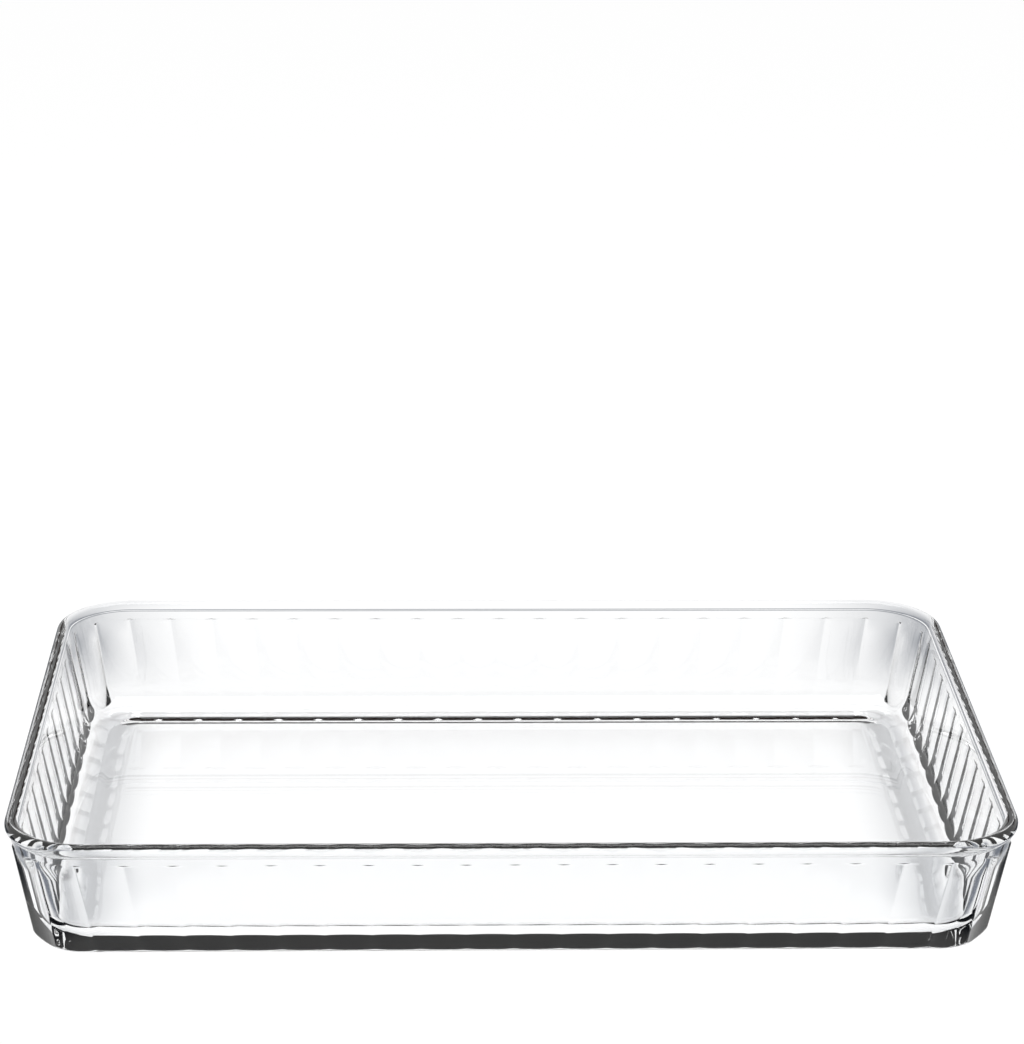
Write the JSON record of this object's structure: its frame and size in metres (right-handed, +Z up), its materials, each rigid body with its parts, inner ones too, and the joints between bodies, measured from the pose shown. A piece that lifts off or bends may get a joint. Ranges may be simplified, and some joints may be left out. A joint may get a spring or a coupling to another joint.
{
  "type": "glass baking dish",
  "caption": "Oblong open baking dish of clear pressed glass, with tapered fluted walls, rounded corners and a rounded rim.",
  "frame": {"origin": "centre of the plane that the dish stands on", "axes": "+X along the dish's length, +Y across it, +Z up out of its open top"},
  "size_m": [0.4, 0.264, 0.0527],
  "materials": {
    "clear_glass": "clear, fire polished"
  },
  "bodies": {
    "root": {"dish": "clear_glass"}
  },
  "joints": []
}
